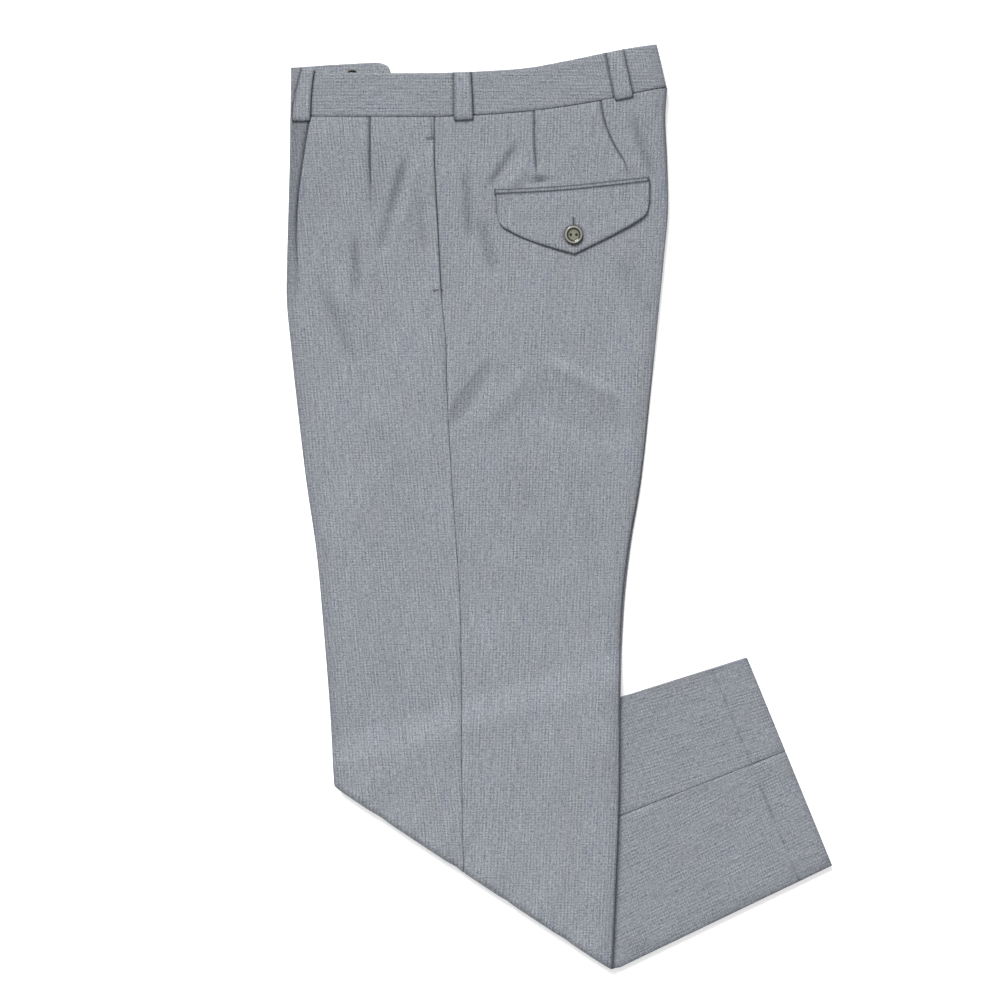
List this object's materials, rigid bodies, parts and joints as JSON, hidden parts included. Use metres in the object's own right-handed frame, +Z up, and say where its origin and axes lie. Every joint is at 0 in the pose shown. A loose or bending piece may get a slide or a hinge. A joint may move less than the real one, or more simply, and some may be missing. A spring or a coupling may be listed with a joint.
{
  "type": "pleated dress trousers",
  "caption": "Pleated dress trousers folded in half and lying flat, with the lower legs folded back under on a slant.",
  "frame": {"origin": "under the middle of the garment's bounding box, on the surface that it lies on", "axes": "+Y from the lower legs towards the waistband, +X from the front edge towards the seat, +Z up off the surface"},
  "size_m": [0.5192, 0.8792, 0.0164],
  "materials": {
    "cloth": "fine plain-weave wool cloth, blue-grey mixed light and dark yarns, matt",
    "button": "smoky grey horn-like button, satin gloss",
    "hook": "pressed brass-coloured wire and plate, satin"
  },
  "bodies": {
    "root": {"back_pocket_button": "button", "back_pocket_flap": "cloth", "back_pocket_welt": "cloth", "inner_layers": "cloth", "left_back_panel": "cloth", "left_belt_loop_back": "cloth", "left_belt_loop_front": "cloth", "left_belt_loop_side": "cloth", "left_front_panel": "cloth", "left_waistband": "cloth", "right_back_panel": "cloth", "right_belt_loop_back": "cloth", "right_belt_loop_front": "cloth", "right_belt_loop_side": "cloth", "right_front_panel": "cloth", "right_waistband": "cloth", "trouser_hook": "hook"}
  },
  "joints": []
}
